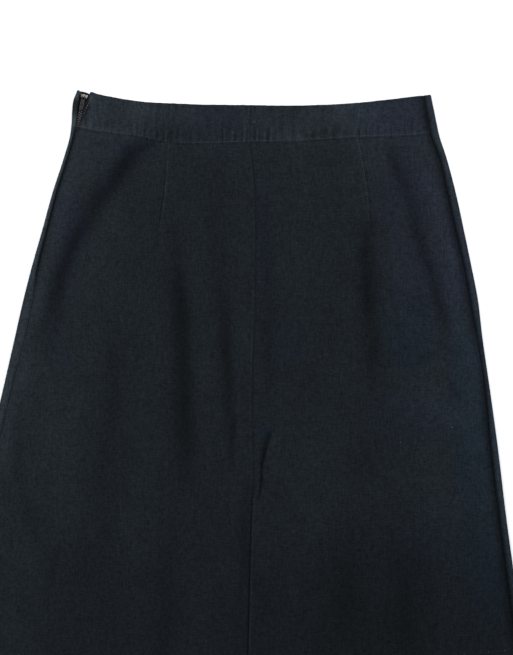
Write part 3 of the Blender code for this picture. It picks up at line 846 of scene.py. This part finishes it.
edge_route = []
for down in np.arange(-0.007, 0.009, 0.0012):
    beside = 0.008 - 0.0036 * float(ease(-0.008, 0.008, down))
    edge_route.append(in_frame(float(chain_x(down)) + beside, down, band_height + 0.0001))
pale_thread = finish("pale_thread", (0.12, 0.13, 0.135), 0.7, 0.1)
hand_stitch = piece_from("hand_stitch", add_stitch)
tape_stitches = repeat_along("tape_stitches", [edge_route], hand_stitch, 0.0027, pale_thread, 0.4, 3)
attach(tape_stitches, "skirt")

# The slider: a die-cast body of two plates joined by a wedge at the waist end, with side flanges that
# close on the teeth, and a bridge for the pull. Its dark coat is rubbed through to warm grey metal at the
# nose, brighter towards one side, drawn as a painted highlight; the dark coat around it also stands in for
# the shade beside the plate.
turn_to_zip = Matrix.Translation(slider_at) @ Matrix.Rotation(-zip_lean, 4, "Z")
slider_length = 0.0086
slider_plates = ((0.00205, 0.00075), (0.0045, 0.0008))
slider_half_widths = [
    (-1.0, 0.0021),
    (-0.75, 0.0026),
    (0.1, 0.0034),
    (0.5, 0.0037),
    (0.85, 0.0033),
    (1.0, 0.002),
]
wedge_size = (0.0019, 0.0021, 0.0022)
flange_size = (0.0006, 0.0048, 0.0006)
bridge_foot = 0.0046
bridge_top = 0.008
bridge_half = 0.0027
bridge_wire = (0.0006, 0.00035)


def add_flat(bm, around, bottom, thick, bevel):
    """A flat piece cut to an outline, with rounded edges."""
    face = bm.faces.new([bm.verts.new((x, y, bottom)) for x, y in around])
    grown = bmesh.ops.extrude_face_region(bm, geom=[face])["geom"]
    raised = [v for v in grown if isinstance(v, bmesh.types.BMVert)]
    bmesh.ops.translate(bm, verts=raised, vec=(0, 0, thick))
    top = [f for f in grown if isinstance(f, bmesh.types.BMFace)][0]
    rims = [*top.edges, *face.edges]
    bmesh.ops.bevel(bm, geom=rims, offset=bevel, segments=3, affect="EDGES", profile=0.5)


def add_slider(bm):
    right = [(wide, place * slider_length / 2) for place, wide in slider_half_widths]
    around = right + [(-x, y) for x, y in reversed(right)]
    for middle, thick in slider_plates:
        add_flat(bm, around, middle - thick / 2, thick, 0.00028)
    between = (slider_plates[0][0] + slider_plates[1][0]) / 2
    add_block(bm, (0.0, 0.0031, between), wedge_size, 0.0003)
    for side in (-1, 1):
        for middle in (slider_plates[0][0] + flange_size[2], slider_plates[1][0] - flange_size[2]):
            add_block(bm, (side * 0.00245, -0.0016, middle), flange_size, 0.00015)
    arch = np.linspace(0.0, math.pi, 17)
    sideways = Vector((bridge_wire[0], 0.0, 0.0))
    rings = []
    for angle in arch:
        reach = math.copysign(abs(math.cos(angle))**0.55, math.cos(angle))
        rise = math.sin(angle)**0.55
        outward = Vector((0.0, math.cos(angle), math.sin(angle))).normalized()
        arch_rise = bridge_top - bridge_wire[1] - bridge_foot
        centre = Vector((0.0, bridge_half * reach, bridge_foot + arch_rise * rise))
        ring = [
            centre + math.cos(turn) * sideways + math.sin(turn) * bridge_wire[1] * outward
            for turn in np.linspace(0.0, 2 * math.pi, 13)[:-1]
        ]
        rings.append([bm.verts.new(point) for point in ring])
    for one, other in zip(rings[:-1], rings[1:]):
        for i in range(12):
            bm.faces.new((one[i], one[(i + 1) % 12], other[(i + 1) % 12], other[i]))
    bm.faces.new(rings[0])
    bm.faces.new(rings[-1][::-1])
    bmesh.ops.transform(bm, matrix=turn_to_zip, verts=bm.verts)


slider_metal = metal("slider_metal", (0.3, 0.27, 0.24), 0.4)
slider_place = add_node(slider_metal, "TexCoord", {})
on_zip = {"Vector": slider_place.outputs["Object"], "Location": slider_at, "Rotation": (0.0, 0.0, -zip_lean)}
along_zip = add_node(slider_metal, "Mapping", on_zip, vector_type="TEXTURE")
zip_axes = add_node(slider_metal, "SeparateXYZ", {"Vector": along_zip.outputs["Vector"]})
# Bare metal in a band near the nose, brighter towards one side: rubbed through and painted as a highlight.
highlight_band_limits = {0: zip_axes.outputs["Y"], 1: 0.0008, 2: 0.0016}
in_highlight_band = add_node(slider_metal, "Math", highlight_band_limits, operation="COMPARE")
fading = {"Value": zip_axes.outputs["X"], "From Min": -0.003, "From Max": 0.0022, "To Min": 0.36}
highlight_across = add_node(slider_metal, "MapRange", fading)
both = {0: in_highlight_band.outputs["Value"], 1: highlight_across.outputs["Result"]}
worn_and_highlight = add_node(slider_metal, "Math", both, operation="MULTIPLY")
dark_coat_and_shade = (0.005, 0.0045, 0.0035, 1.0)
bare_metal_highlight = (0.36, 0.33, 0.3, 1.0)
coats_and_highlight = {"Factor": worn_and_highlight.outputs["Value"], "A": dark_coat_and_shade, "B": bare_metal_highlight}
coat_and_highlight = add_node(slider_metal, "Mix", coats_and_highlight, data_type="RGBA")
feed(slider_metal, "Base Color", coat_and_highlight.outputs["Result"])
slider = piece_from("slider", add_slider, slider_metal)
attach(slider, "skirt")
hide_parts("zip_slider")

# The pull tab: a flat dark metal bar with a round end and a slot in its grip, whose eye rides on the
# slider's bridge. It swings up and over on the bridge.
pull_length = 0.0145
pull_half = 0.002
pull_thick = 0.0009
pull_height = 0.0062
grip_slot = (0.00065, 0.0072, 0.0106)


def add_pull(bm):
    add_block(bm, (0.0, 0.0, 0.0), (2 * pull_half, 0.0009, pull_thick), 0.0003)
    rail = pull_half - grip_slot[0]
    for side in (-1, 1):
        add_block(bm, (side * 0.00145, -0.0018, 0.0), (0.0011, 0.0042, pull_thick), 0.0002)
        middle = (side * (pull_half - rail / 2), -(grip_slot[1] + grip_slot[2]) / 2, 0.0)
        add_block(bm, middle, (rail, grip_slot[2] - grip_slot[1] + 0.0012, pull_thick), 0.00025)
    add_block(bm, (0.0, -0.0053, 0.0), (2 * pull_half - 0.0003, 0.0039, pull_thick - 0.0002), 0.0002)
    end = -pull_length + pull_half
    bend = np.linspace(math.pi, 2 * math.pi, 13)
    around = [(pull_half * math.cos(a), end + pull_half * math.sin(a)) for a in bend]
    around += [(pull_half, -grip_slot[2]), (-pull_half, -grip_slot[2])]
    add_flat(bm, around, -pull_thick / 2, pull_thick, 0.00025)
    bmesh.ops.translate(bm, verts=bm.verts, vec=(0, 0, pull_height))
    bmesh.ops.transform(bm, matrix=turn_to_zip, verts=bm.verts)


pull = piece_from("pull", add_pull, metal("pull_metal", (0.038, 0.036, 0.039), 0.36))
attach(pull, "pull_tab")
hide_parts("zip_pull")

# The back: two halves of the same cotton, each with a long dart from the waist, joined by the centre seam.
# Below the vent's top the right half laps over the left half's extension.
dart_names = ("down", "x")
darts = (
    [dart_names, (-0.004, -0.0893), (0.033, -0.0903), (0.06, -0.0919), (0.106, -0.0964), (0.134, -0.1008)],
    [dart_names, (-0.004, 0.11), (0.033, 0.1129), (0.06, 0.1171), (0.089, 0.1213), (0.134, 0.1239)],
)
dart_tip = 0.134
dart_intake = 0.0125
vent_underlap = 0.038
pucker_height = 0.0005
pucker_pitch = 0.0068
fine_pucker_pitch = 0.0043
broad_pucker_pitch = 0.0141


def band_pucker(across, along):
    """The washboard that shrunken stitching draws up over the facing, and a little below it."""
    x, down = plan(across, along)
    depth = depth_at(across, along)
    stitch = read(band_table, "stitch", across)
    strength = read(band_table, "pucker", across)
    drift = 3.2 * ripple(x, down * 0.55, 0.018, 5.1)
    wave = np.sin(2 * math.pi * x / pucker_pitch + drift)
    wave = wave + 0.6 * np.sin(2 * math.pi * x / fine_pucker_pitch + 1.7 * drift)
    over_facing = 1.0 - ease(0.03, 0.04, depth)
    broad = 0.3 * np.sin(2 * math.pi * x / broad_pucker_pitch + 2.2 * drift) * over_facing
    above = 0.07 + 0.93 * ease(0.017, 0.034, depth)
    below = 1.0 - ease(stitch - 0.0006, stitch + 0.005, depth)
    edge = 0.5 * bump(depth, 0.0, 0.005)
    crinkle = 0.00011 * ripple(x, down, 0.0046, 2.7) * over_facing
    return pucker_height * strength * (wave * (above * below + edge) + broad) + crinkle


def stitch_line(across, along):
    """The sewn-down line of the topstitching: its height, and a brightness factor for the cloth beside it,
    with a painted highlight above the line and a painted shadow below it.
    """
    off = depth_at(across, along) - read(band_table, "stitch", across)
    height = 0.0002 * bump(off, -0.0013, 0.0012) - 0.00024 * bump(off, 0.0, 0.0008)
    light = 1.0 + 0.26 * bump(off, -0.0004, 0.0011) - 0.2 * bump(off, 0.0018, 0.001)
    return height, light


def back_height(across, along):
    """Height of the back's face without its seams and darts, and the share of its folds alone."""
    x, down = plan(across, along)
    height, rise = upper_height(across, along)
    height = height + band_pucker(across, along) + stitch_line(across, along)[0]
    height = height + 0.00011 * ripple(x, down, 0.007, 5.1) + 0.00016 * ripple(x, down, 0.018, 8.1)
    return height - rolled_edge(from_ends(across, along), 0.0011), rise


def back_half(name, side, material):
    """One half of the back, from its side seam over its dart to the centre seam."""
    at_vent = (vent_top + np.array([-0.0008, 0.0006])) / length
    shares = np.sort(np.append(cloth_rows(0.0014, 0.0027), at_vent))
    fine = np.array([0.0, 0.0001, 0.0003, 0.0007, 0.0013, 0.0021, 0.0031, 0.0043])
    points = []
    shade_and_wear_rows = []
    for share in shares:
        width = width_at(share)
        down = float(plan(0.5, share)[1])
        side_down = float(plan(side, share)[1])
        left = float(read(outline, "left", down))
        middle = float(read(centre_seam, "seam", down))
        edge = (middle + (-0.00003, 0.00003)[side] - left) / width
        opening = float(read(outline, "zip_open", side_down)) - 0.0002 if side == 0 else 0.0001
        seam = side_seam(side, share, max(opening, 0.00008))
        stitched_to = min(down, dart_tip)
        dart_left = float(read(outline, "left", stitched_to))
        dart_x = float(read(darts[side], "x", stitched_to))
        dart = (dart_x - dart_left) / width_at(share_at(stitched_to))
        rims = fine / width
        by_edge = np.linspace(fine[-1], 0.029, 32) / width
        outer = np.linspace(fine[-1] / width, abs(dart - seam) - fine[-1] / width, 34)[1:-1]
        inner = np.linspace(by_edge[-1], abs(edge - dart) - fine[-1] / width, 20)[1:-1]
        from_seam = [rims, outer, abs(dart - seam) - rims[::-1]]
        from_middle = [rims, by_edge[1:], inner, abs(edge - dart) - rims[:0:-1]]
        across = np.concatenate([*from_seam, abs(edge - seam) - np.concatenate(from_middle)[::-1]])
        across = seam + across if side == 0 else seam - across[::-1]
        if side == 0:
            reach = vent_underlap * float(ease(vent_top - 0.0007, vent_top + 0.03, down))
            across = np.concatenate([across, edge + np.linspace(0.0, max(reach, 0.0004), 12)[1:] / width])
        height, rise = back_height(across, share)
        x, downs = plan(across, share)
        from_side = np.abs(across - seam) * width
        from_edge = (across - edge) * width * (-1, 1)[side]
        from_dart = (across - dart) * width * (1, -1)[side]
        open_seam = openness(side, side_down)
        stitched = 1.0 - ease(dart_tip - 0.012, dart_tip, downs)
        intake = dart_intake * (1.0 - downs / dart_tip)
        height = height - rolled_edge(from_side, 0.0004 + 0.0014 * open_seam)
        height -= 0.0006 * open_seam * bump(from_side, 0.0, 0.005)
        height += 0.00028 * bump(from_edge, 0.0016, 0.0009)
        if down < vent_top or side == 1:
            height -= rolled_edge(np.maximum(from_edge, 0.0), 0.0004 if down < vent_top else 0.0009)
        height -= 0.0003 * bump(from_dart, -0.0004, 0.0006) * stitched
        ply = ease(0.0, 0.0014, from_dart) * (1.0 - ease(intake - 0.0006, intake + 0.001, from_dart))
        height += 0.00045 * ply * (downs < dart_tip)
        if side == 0:
            sunk = ease(-0.0125, -0.0012, -from_edge) * float(ease(vent_top - 0.012, vent_top - 0.001, down))
            height -= 0.0017 * sunk
        # Painted light and shade for the back: the folds' and sides', and the painted highlight and shadow
        # along the topstitching.
        shade_and_wear = shade_and_wear_at(across, share, rise) * stitch_line(across, share)[1]
        # Painted light on the puckers' ridges and painted shade in their hollows.
        shade_and_wear *= 1.0 + 440.0 * band_pucker(across, share)
        # A painted highlight on the back's turned edge by the zip, at the waist.
        shade_and_wear *= 1.0 + 0.4 * np.exp(-((x + 0.1712) / 0.0016)**2 - (depth_at(across, share) / 0.008)**2)
        # Painted shade in the side seam's groove, deeper where it stands open.
        shade_and_wear *= 1.0 - 0.64 * open_seam * bump(from_side, 0.0, (0.0032, 0.0062)[side])
        # A painted highlight along the dart's ridge, in dashes.
        dash = 0.72 + 0.28 * np.sin(2 * math.pi * downs / 0.0031 + 3 * ripple(x, downs, 0.02, 2.2))
        shade_and_wear *= 1.0 + stitched * dash * 0.75 * bump(from_dart, 0.0006, 0.0008)
        # Painted shade on the dart's outer side, deeper lower down.
        shaded = 0.08 + (0.34, 0.2)[side] * ease(0.045, 0.09, downs)
        shade_and_wear *= 1.0 - stitched * shaded * bump(from_dart, -0.001, 0.0008)
        # A painted highlight on the dart's folded intake near the waist.
        shade_and_wear *= 1.0 + 0.16 * bump(from_dart, intake, 0.0008) * (downs < 0.045)
        # Painted highlight and shadow along the centre seam: above the vent's top the left half's edge is
        # lighter and the right's darker; below it the left half is shaded beside the right half's lit edge.
        edge_light = ((0.16, -0.42), (-0.25, 0.4))[side][down >= vent_top]
        shade_and_wear *= 1.0 + edge_light * bump(from_edge, 0.0009, 0.001)
        points.append(with_worn_waist(points_at(across, share, height), across, share, -0.1718, 0.0011))
        shade_and_wear_rows.append(np.clip(shade_and_wear, 0.15, 3.6))
    half = cloth(name, [(np.array(points), np.array(shade_and_wear_rows))], cloth_wall, material)
    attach(half, "skirt")
    return half


back_left = back_half("back_left_cloth", 0, washed_cotton("back_left_cotton", 0.02, 0.13))
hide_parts("back_left_panel")
back_right = back_half("back_right_cloth", 1, washed_cotton("back_right_cotton", -0.02, 0.53))
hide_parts("back_right_panel")

# The sewing: the line of topstitching that holds the facing, in a thread that has faded lighter than the
# cloth, and the hem's blind stitches.


faded_thread = finish("faded_thread", (0.047, 0.054, 0.063), 0.7, 0.1)
stitch_across = np.linspace(float(side_seam(0, 0.06, 0.001)), float(side_seam(1, 0.06, 0.001)), 220)
stitch_along = read(band_table, "stitch", stitch_across) / length
stitch_height = back_height(stitch_across, stitch_along)[0] + 0.0001
topstitch_route = points_at(stitch_across, stitch_along, stitch_height)
stitch = piece_from("stitch", add_stitch)
topstitch = repeat_along("topstitching", [topstitch_route], stitch, 0.0026, faded_thread, 0.6, 4)
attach(topstitch, "skirt")
hem_routes = []
for first, last in ((0.02, 0.46), (0.5, 0.98)):
    hem_across = np.linspace(first, last, 90)
    hem_along = np.full(hem_across.shape, 1.0 - 0.03 / length)
    hem_routes.append(points_at(hem_across, hem_along, back_height(hem_across, hem_along)[0]))
blind_stitch = piece_from("blind_stitch", add_stitch)
hem_stitches = repeat_along("hem_stitches", hem_routes, blind_stitch, 0.0085, faded_thread, 0.4, 9)
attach(hem_stitches, "skirt")

# The specks: pale lint on the cloth, and the two stitches of a tack at the back's waist. Each is a short
# thread end that lies on the cloth.
lint_table = [
    ("x", "down", "turn", "long"),
    (-0.003, 0.0178, 60.0, 0.0016),
    (-0.0018, 0.017, -50.0, 0.0012),
    (0.0415, 0.1444, 80.0, 0.0013),
    (0.1013, 0.1517, 20.0, 0.0007),
    (0.1507, 0.3533, 70.0, 0.0015),
    (0.2042, 0.3376, -40.0, 0.0016),
    (0.2494, 0.4699, 30.0, 0.0007),
    (-0.118, 0.22, 10.0, 0.0006),
    (0.086, 0.49, 50.0, 0.0008),
]
lint = finish("lint", (0.11, 0.12, 0.13), 0.9, 0.5)


def add_lint(bm):
    for x, down, turn, long in lint_table[1:]:
        left, right = (float(read(outline, name, down)) for name in ("left", "right"))
        across = np.array([(x - left) / (right - left)])
        along = (down + float(read(edges, "waist", across)[0])) / length
        height = float(back_height(across, along)[0][0]) + 0.00012
        speck = bmesh.ops.create_uvsphere(bm, u_segments=8, v_segments=6, radius=1.0)["verts"]
        bmesh.ops.scale(bm, verts=speck, vec=(long / 2, 0.00016, 0.00014))
        place = Matrix.Translation(in_frame(x, down, height))
        bmesh.ops.transform(bm, matrix=place @ Matrix.Rotation(math.radians(turn), 4, "Z"), verts=speck)


specks = piece_from("lint_specks", add_lint, lint)
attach(specks, "skirt")
